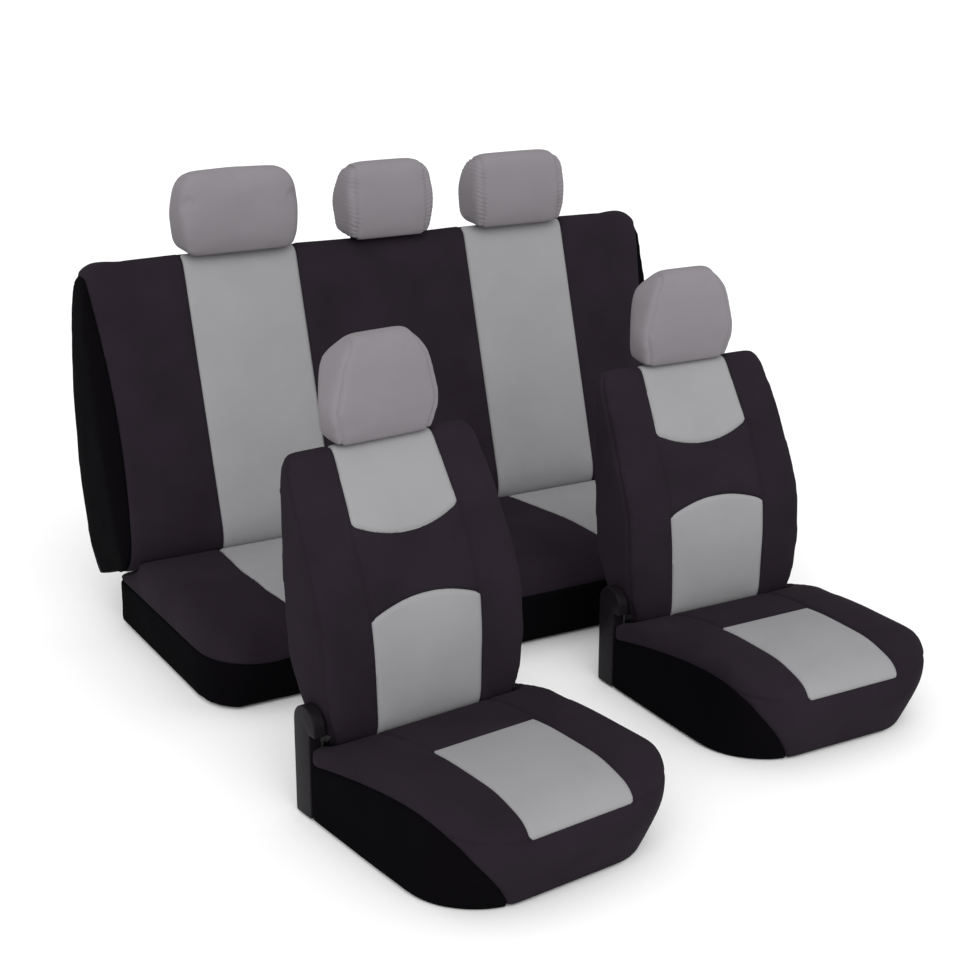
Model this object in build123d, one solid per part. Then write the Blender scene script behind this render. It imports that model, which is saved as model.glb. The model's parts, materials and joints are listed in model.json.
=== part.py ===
from build123d import *

import math
import os

# Seat cover set: two front bucket seats and a rear bench, dressed in their covers.
#
# Millimetres, +Z up, the seats face -Y and stand on Z = 0. The origin is the centre of the
# whole set's footprint on the floor. Each seat is laid out in its own frame first, with X
# across it, Y towards its back and Z from the floor, and is then moved to its place.

# Cloth, foam and fits
CLOTH = 3.0           # cover thickness: cloth with its thin foam backing
FOAM_FIT = 0.5        # gap between a cover and the foam in it
HEM_HEIGHT = 3.0      # the covers' hems stay this far above the floor
TROUGH_GAP = 1.5      # gap between a back's lower end and the cushion it turns in
RUNNING_FIT = 0.05    # radial clearance of a shaft or a post in its hole
FAR = 2000.0          # longer than anything here, for cutting tools

# Parts that all the seats share
POST_R = 6.0
POST_SOCKET = 120.0   # how far a post reaches down into the back
GUIDE_R = 8.5
GUIDE_LENGTH = 75.0
GUIDE_COLLAR_R = 14.0
GUIDE_COLLAR = 12.0   # collar height, mostly sunk into the cover
GUIDE_PROUD = 0.5
RAIL_HALF = 11.0      # half the depth of a back frame's rails
HEADREST_GAP = 5.0    # from the top of the back to the headrest's underside
BOLT_HOLE_R = 5.5
PLATE = 3.0           # pressed steel thickness of the pans

# Front seat
FRONT_AXIS_Y = 0.0
FRONT_AXIS_Z = 165.0
FRONT_END_R = 53.0            # radius of the back's lower end, about the recline axis
FRONT_CUSHION_HALF = 235.0
FRONT_NOTCH_HALF = 203.5      # the cushion narrows to this beside the moulded recliner cap
FRONT_NOTCH_Y = -20.0
FRONT_SLOT_Y = -60.0
FRONT_SLOT_OUTER = 211.0      # outer side of the slot for the other recliner's bracket
FRONT_CUSHION_FRONT = -492.0
FRONT_CORNER_R = 130.0
FRONT_CUSHION_REAR = 62.0
FRONT_BACK_HALF = 214.0
FRONT_BACK_FOOT_HALF = 203.0  # the back's half width between the recliners
FRONT_TOP_Z = 640.0
FRONT_HEADREST_TOP = 822.0
FRONT_FRAME_LEAN = 14.0       # degrees that the back frame leans from upright
FRONT_POST_HALF = 60.0
FRONT_POST_RISE = 130.0
FRONT_PIN_R = 8.0
RECLINER_FOOT_Y = (-19.0, 31.0)           # where a recliner bracket joins the pan
RECLINER_FOOT_Z = 12.0
RECLINER_PLATE = 4.0
RECLINER_EAR_R = 19.0
RECLINER_WALL = 4.0
CAP_HALF = 36.0               # half the recliner cap's head, along the seat
CAP_Z = (2.0, 163.0, 215.0)   # foot of the cap's leg, underside and top of its head
CAP_LEG_FRONT = -17.0
CAP_OUTER = 232.0             # outer face of the cap
PAN_CORNER_R = 62.0
FRONT_PAN = (-400.0, 45.0, 195.0, 55.0)   # front, rear, half width, height
FRONT_BOLTS = (300.0, 320.0)              # hole spacing across and along the seat
FRONT_BOLTS_Y = -190.0

# Rear bench
BENCH_AXIS_Y = 22.0
BENCH_AXIS_Z = 205.0
BENCH_END_R = 58.0
BENCH_CUSHION_HALF = 682.0
BENCH_CUSHION_FRONT = -478.0
BENCH_CUSHION_REAR = 110.0
BENCH_BACK_HALF = 712.0
BENCH_TOP_Z = 800.0
BENCH_FACE_LEAN = 16.4
BENCH_FRAME_LEAN = 12.9
BENCH_STRIP = (213.0, 478.0)              # inner and outer edge of a light strip
BENCH_POST_HALF = 62.0
BENCH_POST_RISE = 120.0
BENCH_PIN_R = 6.0
BENCH_PIVOT_X = 600.0
BENCH_PAN = (-415.0, 95.0, 640.0, 45.0)
BENCH_BOLTS = (1100.0, 320.0)
BENCH_BOLTS_Y = -170.0
BENCH_HEADRESTS = {                       # name: (centre X, half width)
    "left": (-346.0, 134.0),
    "center": (8.0, 108.0),
    "right": (346.0, 120.0),
}

# Where each seat stands before the set is centred: X, Y and turn about Z in degrees
PLACES = {
    "passenger": (-461.0, -888.0, 6.4),
    "driver": (301.0, -713.0, 0.0),
    "bench": (0.0, 0.0, 0.0),
}

# Joint travel: degrees for the hinges, positive folds a back forward; mm for the slides
FRONT_RECLINE = (-35.0, 20.0)
BENCH_FOLD = (0.0, 35.0)
HEADREST_TRAVEL = 50.0


def rounded(points, radii):
    """A face through the points, with each corner rounded by its own radius."""
    return make_face(FilletPolyline(*points, radius=list(radii), close=True))


def grown(face, amount):
    """The face with its outline moved out by the amount, or in where it is negative."""
    return offset(face, amount=amount) if amount else face


def across(face, half):
    """A Y, Z outline swept across the seat, to the same distance on both sides."""
    return extrude(Plane.YZ * face, amount=half, both=True)


def block(x, y, z):
    """A box from its low and high X, Y and Z."""
    middle = [(low + high) / 2 for low, high in (x, y, z)]
    return Pos(*middle) * Box(x[1] - x[0], y[1] - y[0], z[1] - z[0])


def rod_x(radius, x, y, z):
    """A cylinder along X between the two X values, centred on the given Y and Z."""
    return Pos((x[0] + x[1]) / 2, y, z) * Rot(0, 90, 0) * Cylinder(radius, x[1] - x[0])


def mirrored(solid):
    """The solid together with its mirror image across the seat."""
    return solid + mirror(solid, about=Plane.YZ)


def lean_frame(axis_y, axis_z, lean):
    """The frame on a back's axis whose Z runs up the leaning back and whose Y points behind it."""
    return Pos(0, axis_y, axis_z) * Rot(-lean, 0, 0)


def face_union(first, second):
    """Two overlapping faces as one."""
    return (Sketch() + first + second).face()


# ---------------------------------------------------------------- front seat outlines

def front_cushion_side():
    """Side outline of a front cushion: crowned top, rounded nose, front tucked in below."""
    points = [(FRONT_CUSHION_REAR, 0), (FRONT_CUSHION_REAR, 122), (-30, 148), (-100, 169),
              (-250, 184), (-385, 182), (-470, 158), (FRONT_CUSHION_FRONT, 105), (-450, 0)]
    return rounded(points, (2, 10, 60, 150, 400, 120, 40, 60, 2))


def front_cushion_plan():
    """Plan of a front cushion, with its large rounded front corners."""
    half, front = FRONT_CUSHION_HALF, FRONT_CUSHION_FRONT
    points = [(-half, front), (half, front), (half, FRONT_CUSHION_REAR), (-half, FRONT_CUSHION_REAR)]
    return rounded(points, (FRONT_CORNER_R, FRONT_CORNER_R, 12, 12))


def front_cushion_form(inset):
    """The cushion's outer shape, drawn in by the inset on every side."""
    side = grown(front_cushion_side(), -inset)
    plan = grown(front_cushion_plan(), -inset)
    form = across(side, FRONT_CUSHION_HALF) & extrude(plan, amount=FAR)
    trough_r = FRONT_END_R + TROUGH_GAP + inset
    trough_end = (FRONT_NOTCH_HALF + FRONT_SLOT_OUTER) / 2
    form -= rod_x(trough_r, (-FRONT_NOTCH_HALF - inset, trough_end), FRONT_AXIS_Y, FRONT_AXIS_Z)
    form -= block((-FAR, inset - FRONT_NOTCH_HALF), (FRONT_NOTCH_Y - inset, FAR), (-FAR, FAR))
    slot = (FRONT_NOTCH_HALF - inset, FRONT_SLOT_OUTER + inset)
    form -= block(slot, (FRONT_SLOT_Y - inset, FAR), (-FAR, FAR))
    return form


def front_back_side():
    """Side outline of a front back: round lower end, upright lumbar, leaning shoulder."""
    end = Pos(FRONT_AXIS_Y, FRONT_AXIS_Z) * Circle(FRONT_END_R)
    front, rear = FRONT_AXIS_Y - FRONT_END_R, FRONT_AXIS_Y + FRONT_END_R
    points = [(front, FRONT_AXIS_Z), (-52, 290), (-43, 370), (18, 509), (94, FRONT_TOP_Z - 2),
              (132, FRONT_TOP_Z), (122, 560), (108, 400), (95, 272), (rear, FRONT_AXIS_Z)]
    upper = rounded(points, (1, 300, 130, 260, 16, 16, 400, 400, 120, 1))
    return face_union(end, upper)


def front_back_outline():
    """Front outline of a front back: narrow foot, widest at the middle, rounded shoulders."""
    foot, half, top = FRONT_BACK_FOOT_HALF, FRONT_BACK_HALF, FRONT_TOP_Z + 20
    side = [(foot, 80), (foot, 230), (half, 300), (half, 480), (196, top)]
    points = side + [(-x, z) for x, z in reversed(side)]
    radii = (40, 300, 300, 300, 62)
    return rounded(points, radii + radii[::-1])


def front_back_form(inset):
    """The back's outer shape, drawn in by the inset on every side."""
    side = grown(front_back_side(), -inset)
    outline = grown(front_back_outline(), -inset)
    return across(side, FRONT_BACK_HALF) & extrude(Plane.XZ * outline, amount=FAR, both=True)


def front_headrest_form(inset):
    """A front headrest: wide at its foot, narrower and rounded at the top."""
    low, high = FRONT_TOP_Z + HEADREST_GAP, FRONT_HEADREST_TOP
    crown = high + 3
    side = [(84, low), (72, 700), (72, 776), (84, crown), (124, crown), (156, 780), (166, 710), (152, low)]
    face = [(100, low - 5), (111, 695), (96, 770), (66, high)]
    outline = face + [(-x, z) for x, z in reversed(face)]
    side_face = grown(rounded(side, (14, 60, 60, 18, 30, 60, 60, 20)), -inset)
    outline_face = grown(rounded(outline, (20, 60, 60, 34, 34, 60, 60, 20)), -inset)
    return across(side_face, FAR) & extrude(Plane.XZ * outline_face, amount=FAR, both=True)


# ---------------------------------------------------------------- bench outlines

def bench_back_side():
    """Side outline of the bench back: flat leaning face and a full, lens-shaped rear."""
    end = Pos(BENCH_AXIS_Y, BENCH_AXIS_Z) * Circle(BENCH_END_R)
    lean = math.radians(BENCH_FACE_LEAN)
    foot = (BENCH_AXIS_Y - BENCH_END_R * math.cos(lean), BENCH_AXIS_Z + BENCH_END_R * math.sin(lean))
    top_y = foot[0] + (BENCH_TOP_Z - foot[1]) * math.tan(lean)
    points = [foot, (top_y, BENCH_TOP_Z), (196, BENCH_TOP_Z), (238, 690), (266, 500), (260, 300),
              (222, 170), (160, 96), (BENCH_AXIS_Y - 20, BENCH_AXIS_Z - 54.5), (BENCH_AXIS_Y, BENCH_AXIS_Z)]
    upper = rounded(points, (1, 16, 18, 300, 400, 300, 150, 30, 0.5, 0.5))
    return face_union(end, upper)


def bench_cushion_side():
    """Side outline of the bench cushion: top falls gently to a rounded front edge."""
    points = [(BENCH_CUSHION_REAR, 0), (BENCH_CUSHION_REAR, 190), (-60, 192), (-250, 194),
              (-400, 178), (-462, 132), (BENCH_CUSHION_FRONT, 95), (-455, 0)]
    return rounded(points, (2, 5, 100, 400, 120, 40, 40, 2))


def bench_cushion_form(inset):
    """The bench cushion's outer shape, drawn in by the inset on every side."""
    half, front = BENCH_CUSHION_HALF, BENCH_CUSHION_FRONT
    corners = [(-half, front), (half, front), (half, BENCH_CUSHION_REAR), (-half, BENCH_CUSHION_REAR)]
    plan = grown(rounded(corners, (110, 110, 15, 15)), -inset)
    form = across(grown(bench_cushion_side(), -inset), FAR) & extrude(plan, amount=FAR)
    return form - across(grown(bench_back_side(), TROUGH_GAP + inset), FAR)


def bench_back_form(inset):
    """The bench back's outer shape, drawn in by the inset on every side."""
    half, top = BENCH_BACK_HALF, BENCH_TOP_Z + 1
    outline = [(-half, 60), (half, 60), (half, top), (-half, top)]
    outline_face = grown(rounded(outline, (20, 20, 34, 34)), -inset)
    side = across(grown(bench_back_side(), -inset), FAR)
    return side & extrude(Plane.XZ * outline_face, amount=FAR, both=True)


def bench_headrest_form(inset, centre, half):
    """A bench headrest: a rounded pad, a little wider than it is high."""
    low, high = BENCH_TOP_Z + HEADREST_GAP, 966
    crown = high + 3
    foot = low - 5
    side = [(104, low), (98, 860), (112, crown), (172, crown), (206, 880), (200, low)]
    outline = [(8 - half, foot), (half - 8, foot), (half, 880), (half - 12, high),
               (12 - half, high), (-half, 880)]
    side_face = grown(rounded(side, (16, 60, 24, 30, 60, 20)), -inset)
    outline_face = grown(rounded(outline, (26, 26, 60, 32, 32, 60)), -inset)
    form = across(side_face, FAR) & extrude(Plane.XZ * outline_face, amount=FAR, both=True)
    return Pos(centre, 0, 0) * form


# ---------------------------------------------------------------- shared pieces

def shell(outer, inner):
    """A cover's walls, open under the hem."""
    walls = outer - inner
    return walls & block((-FAR, FAR), (-FAR, FAR), (HEM_HEIGHT, FAR))


def post_pair(frame, centre, half, top, rise):
    """Two straight steel headrest posts along the leaning back."""
    length = POST_SOCKET + rise
    post = Pos(0, 0, top - POST_SOCKET + length / 2) * Cylinder(POST_R, length)
    return frame * (Pos(centre - half, 0, 0) * post + Pos(centre + half, 0, 0) * post)


def guide_pair(frame, centre, half, top):
    """Two plastic guide sleeves that the posts slide in, each with a collar at its top."""
    body = Pos(0, 0, top - GUIDE_LENGTH / 2) * Cylinder(GUIDE_R, GUIDE_LENGTH)
    body += Pos(0, 0, top + GUIDE_PROUD - GUIDE_COLLAR / 2) * Cylinder(GUIDE_COLLAR_R, GUIDE_COLLAR)
    body -= Pos(0, 0, top) * Cylinder(POST_R + RUNNING_FIT, 3 * GUIDE_LENGTH)
    return frame * (Pos(centre - half, 0, 0) * body + Pos(centre + half, 0, 0) * body)


def guide_room(frame, centre, half, top):
    """The room that the guides and the posts below them need inside the back."""
    collar_top = 2 * GUIDE_COLLAR
    depth = POST_SOCKET + 10
    room = Pos(0, 0, top - GUIDE_LENGTH / 2) * Cylinder(GUIDE_R, GUIDE_LENGTH)
    collar_middle = top + GUIDE_PROUD - GUIDE_COLLAR + collar_top / 2
    room += Pos(0, 0, collar_middle) * Cylinder(GUIDE_COLLAR_R, collar_top)
    room += Pos(0, 0, top - depth / 2) * Cylinder(POST_R + 1, depth)
    return frame * (Pos(centre - half, 0, 0) * room + Pos(centre + half, 0, 0) * room)


def pan(front, rear, half, height, bolts, bolts_y):
    """A pressed steel seat pan: flat floor, raised rim, rounded front corners and four fixing holes."""
    outer, inner = half, half - PLATE
    plan = rounded([(-outer, front), (outer, front), (outer, rear), (-outer, rear)],
                   (PAN_CORNER_R, PAN_CORNER_R, 1, 1))
    low, high = front + PLATE, rear - PLATE
    hollow = rounded([(-inner, low), (inner, low), (inner, high), (-inner, high)],
                     (PAN_CORNER_R - PLATE, PAN_CORNER_R - PLATE, 1, 1))
    body = extrude(plan, amount=height) - Pos(0, 0, PLATE) * extrude(hollow, amount=height)
    for x in (-bolts[0] / 2, bolts[0] / 2):
        for y in (bolts_y - bolts[1] / 2, bolts_y + bolts[1] / 2):
            body -= Pos(x, y, 0) * Cylinder(BOLT_HOLE_R, 4 * PLATE)
    return body


# ---------------------------------------------------------------- front seat

def recliner_cap_form(inset, depth):
    """The recliner cap's shape, drawn in by the inset: a half-round head on a narrower leg."""
    foot, under, top = CAP_Z
    half = CAP_HALF - inset
    head_r = half - 2
    head = rounded([(-half, under + inset), (half, under + inset), (half, top - inset), (-half, top - inset)],
                   (0.5, 0.5, head_r, head_r))
    leg_front, leg_top = CAP_LEG_FRONT + inset, (under + top) / 2
    leg = rounded([(leg_front, foot + inset), (half, foot + inset), (half, leg_top), (leg_front, leg_top)],
                  (2, 2, 0.5, 0.5))
    return extrude(Plane.YZ * head, amount=depth) + extrude(Plane.YZ * leg, amount=depth)


def front_pivot_parts():
    """The recliner brackets on the pan, their pins, and the moulded cap on the -X side."""
    y, z = FRONT_AXIS_Y, FRONT_AXIS_Z
    plate_x = (FRONT_BACK_FOOT_HALF + 2, FRONT_BACK_FOOT_HALF + 2 + RECLINER_PLATE)
    low_y, high_y = RECLINER_FOOT_Y
    ear = RECLINER_EAR_R
    plate = rounded([(low_y, 0), (high_y, 0), (y + ear, z - 20), (y + ear, z + ear), (y - ear, z + ear)],
                    (3, 3, 20, ear - 1, ear - 1))
    bracket = Pos(plate_x[0], 0, 0) * extrude(Plane.YZ * plate, amount=RECLINER_PLATE)
    bracket += block((FRONT_PAN[2], plate_x[0] + 1), RECLINER_FOOT_Y, (0, RECLINER_FOOT_Z))
    bracket -= rod_x(FRONT_PIN_R, (0, FAR), y, z)
    pin = rod_x(FRONT_PIN_R, (182, plate_x[1]), y, z)
    pin += rod_x(11, (plate_x[1], plate_x[1] + 3), y, z)
    depth = CAP_OUTER - plate_x[1]
    cap = recliner_cap_form(0, -depth)
    cap -= Pos(depth, 0, 0) * recliner_cap_form(RECLINER_WALL, CLOTH - 2 * depth)
    return mirrored(bracket), mirrored(pin), Pos(-plate_x[1], 0, 0) * cap


def front_back_frame(frame):
    """The back's steel hoop: side rails with pivot ears, and rails across it."""
    top = frame_height(FRONT_TOP_Z, FRONT_AXIS_Z, FRONT_FRAME_LEAN)
    depth = (-RAIL_HALF, RAIL_HALF)
    rail = block((172, 188), depth, (-18, top - 42))
    rails = mirrored(rail)
    for low, high in ((15, 35), (210, 226), (top - 62, top - 42)):
        rails += block((-180, 180), depth, (low, high))
    rails = frame * rails
    ear = rod_x(26, (188, 194), FRONT_AXIS_Y, FRONT_AXIS_Z)
    hole = rod_x(FRONT_PIN_R + RUNNING_FIT, (180, FAR), FRONT_AXIS_Y, FRONT_AXIS_Z)
    return rails + mirrored(ear) - mirrored(hole)


def frame_height(z, axis_z, lean):
    """How far up a leaning back the height z lies, measured from its axis."""
    return (z - axis_z) / math.cos(math.radians(lean))


def skirt_zone():
    """Side outline of a front cushion's dark side panels, which sweep down at the front corner."""
    points = [(FRONT_CUSHION_REAR + 5, -5), (FRONT_CUSHION_REAR + 5, 126), (-62, 126), (-204, 150),
              (-312, 158), (-365, 150), (-412, 118), (-436, 60), (-449, -5)]
    side = rounded(points, (1, 1, 20, 200, 100, 60, 60, 60, 1))
    zone = extrude(Plane.YZ * side, amount=FAR)
    return mirrored(zone & block((100, FAR), (-FAR, FAR), (-FAR, FAR)))


def front_seat():
    """Every piece of one front seat, in the seat's own frame, by plain name."""
    frame = lean_frame(FRONT_AXIS_Y, FRONT_AXIS_Z, FRONT_FRAME_LEAN)
    top = frame_height(FRONT_TOP_Z, FRONT_AXIS_Z, FRONT_FRAME_LEAN)
    brackets, pins, cap = front_pivot_parts()
    base = pan(*FRONT_PAN, FRONT_BOLTS, FRONT_BOLTS_Y)
    brackets -= base

    cover = shell(front_cushion_form(0), front_cushion_form(CLOTH))
    insert_zone = make_face(Polyline((-108, -193), (108, -193), (112, -486), (-112, -486), close=True))
    insert_zone = extrude(Pos(0, 0, 120) * insert_zone, amount=FAR)
    foot_y = (RECLINER_FOOT_Y[0] - 1, RECLINER_FOOT_Y[1] + 1)
    foot_room = mirrored(block((FRONT_PAN[2] + 1, FRONT_SLOT_OUTER), foot_y, (-FAR, RECLINER_FOOT_Z + 1)))
    foam = front_cushion_form(CLOTH + FOAM_FIT) & block((-FAR, FAR), (-FAR, FAR), (HEM_HEIGHT, FAR))
    foam = foam - base - brackets - foot_room

    back_inner = front_back_form(CLOTH)
    back_cover = front_back_form(0) - back_inner
    pivot_slit = mirrored(rod_x(FRONT_PIN_R + 3, (180, FAR), FRONT_AXIS_Y, FRONT_AXIS_Z))
    sockets = guide_room(frame, 0, FRONT_POST_HALF, top)
    back_cover = back_cover - sockets - pivot_slit
    lower = Plane.XZ * rounded([(-112, 118), (112, 118), (115, 362), (0, 392), (-115, 362)],
                               (2, 2, 6, 160, 6))
    lower = extrude(lower, amount=FAR) & block((-FAR, FAR), (-FAR, 0), (0, FAR))
    upper = Plane.XZ * rounded([(-111, 512), (0, 484), (111, 512), (104, FRONT_TOP_Z), (-104, FRONT_TOP_Z)],
                               (4, 150, 4, 2, 2))
    upper = extrude(upper, amount=FAR, both=True) & block((-FAR, FAR), (-FAR, 109), (0, FAR))

    hoop = front_back_frame(frame)
    back_foam = front_back_form(CLOTH + FOAM_FIT) - hoop - sockets - pivot_slit

    posts = post_pair(frame, 0, FRONT_POST_HALF, top, FRONT_POST_RISE)
    pads = front_headrest_form(CLOTH)
    pieces = {
        "seat_pan": base,
        "recliner_brackets": brackets,
        "cushion_foam": foam,
        "cushion_cover": cover - insert_zone - skirt_zone(),
        "cushion_insert": cover & insert_zone,
        "cushion_side_skirts": (cover & skirt_zone()) - foot_room,
        "recliner_cap": cap,
        "recliner_pins": pins,
        "back_frame": hoop - sockets,
        "back_foam": back_foam,
        "back_cover": back_cover - lower - upper,
        "back_lower_insert": back_cover & lower,
        "back_upper_insert": back_cover & upper,
        "headrest_guides": guide_pair(frame, 0, FRONT_POST_HALF, top),
        "headrest_posts": posts,
        "headrest_foam": front_headrest_form(CLOTH + FOAM_FIT) - posts,
        "headrest_cover": front_headrest_form(0) - pads - posts,
    }
    return pieces


# ---------------------------------------------------------------- bench

def bench_pivot_parts():
    """The bench back's two pivot brackets on the pan, and their pins."""
    y, z = BENCH_AXIS_Y, BENCH_AXIS_Z
    outline = rounded([(y - 22, 0), (y + 22, 0), (y + 18, z), (y, z + 19), (y - 18, z)], (1, 1, 10, 17, 10))
    bracket = Pos(BENCH_PIVOT_X, 0, 0) * extrude(Plane.YZ * outline, amount=PLATE, both=True)
    bracket -= rod_x(BENCH_PIN_R, (0, FAR), y, z)
    pin = rod_x(BENCH_PIN_R, (BENCH_PIVOT_X - 16, BENCH_PIVOT_X + 16), y, z)
    return mirrored(bracket), mirrored(pin)


def bench_pivot_slots():
    """Room in the bench back for a bracket over the whole fold: a fan below the pivot."""
    y, z = BENCH_AXIS_Y, BENCH_AXIS_Z
    room_half = 24
    reach = 190
    points = []
    for angle, side in ((-87, 1), (-128, -1)):
        along = (math.cos(math.radians(angle)), math.sin(math.radians(angle)))
        start = (y - side * room_half * along[1], z + side * room_half * along[0])
        ends = [start, (start[0] + reach * along[0], start[1] + reach * along[1])]
        points += ends[::side]
    sector = make_face(Polyline(*points, close=True))
    room = face_union(sector, Pos(y, z) * Circle(room_half))
    return mirrored(Pos(BENCH_PIVOT_X, 0, 0) * extrude(Plane.YZ * room, amount=PLATE + 2, both=True))


def bench_back_frame(frame):
    """The bench back's steel hoop, with a pair of pivot ears either side of each bracket."""
    top = frame_height(BENCH_TOP_Z, BENCH_AXIS_Z, BENCH_FRAME_LEAN)
    depth = (-RAIL_HALF, RAIL_HALF)
    rails = mirrored(block((660, 676), depth, (28, top - 42)))
    for low, high in ((28, 48), (top / 2 - 10, top / 2 + 10), (top - 62, top - 42)):
        rails += block((-668, 668), depth, (low, high))
    hole = Cylinder(BENCH_PIN_R + RUNNING_FIT, FAR, rotation=(0, 90, 0))
    ear = Cylinder(22, 5, rotation=(0, 90, 0)) + block((-2.5, 2.5), depth, (0, 30))
    for x in (BENCH_PIVOT_X - 8.5, BENCH_PIVOT_X + 8.5):
        rails += mirrored(Pos(x, 0, 0) * ear)
    return frame * (rails - hole)


def bench():
    """Every piece of the rear bench, by plain name."""
    frame = lean_frame(BENCH_AXIS_Y, BENCH_AXIS_Z, BENCH_FRAME_LEAN)
    top = frame_height(BENCH_TOP_Z, BENCH_AXIS_Z, BENCH_FRAME_LEAN)
    brackets, pins = bench_pivot_parts()
    base = pan(*BENCH_PAN, BENCH_BOLTS, BENCH_BOLTS_Y)
    brackets -= base
    bracket_slot = mirrored(block((BENCH_PIVOT_X - 5, BENCH_PIVOT_X + 5), (-4, 48), (0, FAR)))

    inner, outer = BENCH_STRIP
    strips = block((inner, outer), (-455, 0), (118, FAR))
    cushion_cover = shell(bench_cushion_form(0), bench_cushion_form(CLOTH)) - bracket_slot
    skirt = block((-FAR, FAR), (-FAR, FAR), (-FAR, 118))
    cushion_foam = bench_cushion_form(CLOTH + FOAM_FIT) & block((-FAR, FAR), (-FAR, FAR), (HEM_HEIGHT, FAR))
    cushion_foam = cushion_foam - base - brackets - bracket_slot

    slots = bench_pivot_slots()
    posts = {}
    guides = Part()
    sockets = Part()
    for name, (centre, _) in BENCH_HEADRESTS.items():
        posts[name] = post_pair(frame, centre, BENCH_POST_HALF, top, BENCH_POST_RISE)
        guides += guide_pair(frame, centre, BENCH_POST_HALF, top)
        sockets += guide_room(frame, centre, BENCH_POST_HALF, top)

    back_cover = bench_back_form(0) - bench_back_form(CLOTH) - slots - sockets
    face_zone = block((inner, outer), (-FAR, 158), (170, FAR))
    side_zone = mirrored(block((BENCH_BACK_HALF - CLOTH, FAR), (-FAR, FAR), (-FAR, FAR)))
    hoop = bench_back_frame(frame)
    pin_x = (BENCH_PIVOT_X - 18, BENCH_PIVOT_X + 18)
    pin_room = mirrored(rod_x(BENCH_PIN_R + 1, pin_x, BENCH_AXIS_Y, BENCH_AXIS_Z))
    back_foam = bench_back_form(CLOTH + FOAM_FIT) - hoop - slots - sockets - pin_room

    pieces = {
        "seat_pan": base,
        "pivot_brackets": brackets,
        "cushion_foam": cushion_foam,
        "cushion_cover": cushion_cover - skirt - mirrored(strips),
        "cushion_left_insert": cushion_cover & mirror(strips, about=Plane.YZ),
        "cushion_right_insert": cushion_cover & strips,
        "cushion_skirt": cushion_cover & skirt,
        "pivot_pins": pins,
        "back_frame": hoop - sockets,
        "back_foam": back_foam,
        "back_cover": back_cover - mirrored(face_zone) - side_zone,
        "back_side_panels": back_cover & side_zone,
        "back_left_insert": back_cover & mirror(face_zone, about=Plane.YZ),
        "back_right_insert": back_cover & face_zone,
        "headrest_guides": guides,
    }
    for name, (centre, half) in BENCH_HEADRESTS.items():
        cover = bench_headrest_form(0, centre, half) - bench_headrest_form(CLOTH, centre, half)
        pieces[f"{name}_headrest_posts"] = posts[name]
        pieces[f"{name}_headrest_foam"] = bench_headrest_form(CLOTH + FOAM_FIT, centre, half) - posts[name]
        pieces[f"{name}_headrest_cover"] = cover - posts[name]
    return pieces


# ---------------------------------------------------------------- the set

def place_of(seat):
    """Where a seat's own frame stands in the set, before the set is centred."""
    x, y, turn = PLACES[seat]
    return Pos(x, y, 0) * Rot(0, 0, turn)


def the_set():
    """All the nodes in the set's frame, and the move that centred them."""
    nodes = {}
    front = front_seat()
    for seat, pieces in (("passenger", front), ("driver", front), ("bench", bench())):
        for name, solid in pieces.items():
            nodes[f"{seat}_{name}"] = place_of(seat) * solid
    boxes = [solid.bounding_box() for solid in nodes.values()]
    low_x, high_x = min(b.min.X for b in boxes), max(b.max.X for b in boxes)
    low_y, high_y = min(b.min.Y for b in boxes), max(b.max.Y for b in boxes)
    shift = (-(low_x + high_x) / 2, -(low_y + high_y) / 2)
    centred = {name: Pos(*shift, 0) * solid for name, solid in nodes.items()}
    return centred, shift


if __name__ == "__main__":
    os.makedirs("parts", exist_ok=True)
    NODES, SHIFT = the_set()
    for node_name, node_solid in NODES.items():
        export_step(node_solid, f"parts/{node_name}.step")
    print(f"{len(NODES)} nodes, centred by {SHIFT[0]:.4f}, {SHIFT[1]:.4f}")
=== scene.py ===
"""The seat cover set's looks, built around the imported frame. Metres, +Z up, the seats face -Y.

Each seat is shaped in its own frame, with X across it, Y towards its back and Z from the
floor, and is then moved to where the frame's recline joint says it stands.
"""
import json
import math

import bmesh
import bpy
import numpy as np
from mathutils import Matrix, Vector, noise


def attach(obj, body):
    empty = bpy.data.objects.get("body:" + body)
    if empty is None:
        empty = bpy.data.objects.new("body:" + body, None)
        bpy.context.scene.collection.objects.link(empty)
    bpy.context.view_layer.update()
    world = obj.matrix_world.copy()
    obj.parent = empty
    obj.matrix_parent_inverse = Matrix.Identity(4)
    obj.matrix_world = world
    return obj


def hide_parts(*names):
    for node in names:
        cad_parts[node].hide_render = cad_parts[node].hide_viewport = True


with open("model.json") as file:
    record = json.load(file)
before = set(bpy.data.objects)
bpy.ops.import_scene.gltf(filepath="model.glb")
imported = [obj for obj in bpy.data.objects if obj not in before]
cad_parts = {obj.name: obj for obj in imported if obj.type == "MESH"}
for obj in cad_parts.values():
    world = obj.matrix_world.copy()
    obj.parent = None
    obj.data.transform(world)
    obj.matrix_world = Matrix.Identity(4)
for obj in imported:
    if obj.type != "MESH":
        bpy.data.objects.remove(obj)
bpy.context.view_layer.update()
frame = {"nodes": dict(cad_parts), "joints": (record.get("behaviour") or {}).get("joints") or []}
JOINTS = {joint["name"]: joint for joint in frame["joints"]}
MM = 0.001

SWELL = 0.007              # the most that a cover swells over its form
FULLER_SWELL = 0.008       # the same on the bench's back and headrests
SEAM_DEPTH = 0.0032        # a sewn valley's depth, and its half width
SEAM_WIDTH = 0.0040
SEAM_ALLOWANCE = 0.004
NO_SEAM = np.nan           # a seam's field where the seam has ended
FRONT_HELD = 0.0045        # how close to a seam a cover is held while it swells
BENCH_HELD = 0.006
FRONT_VOXEL = 0.007        # mesh sizes of the forms
BENCH_VOXEL = 0.0095
HEADREST_WEAR = 26         # passes that round a headrest's edges


# ------------------------------------------------------------------ outlines and forms

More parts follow.
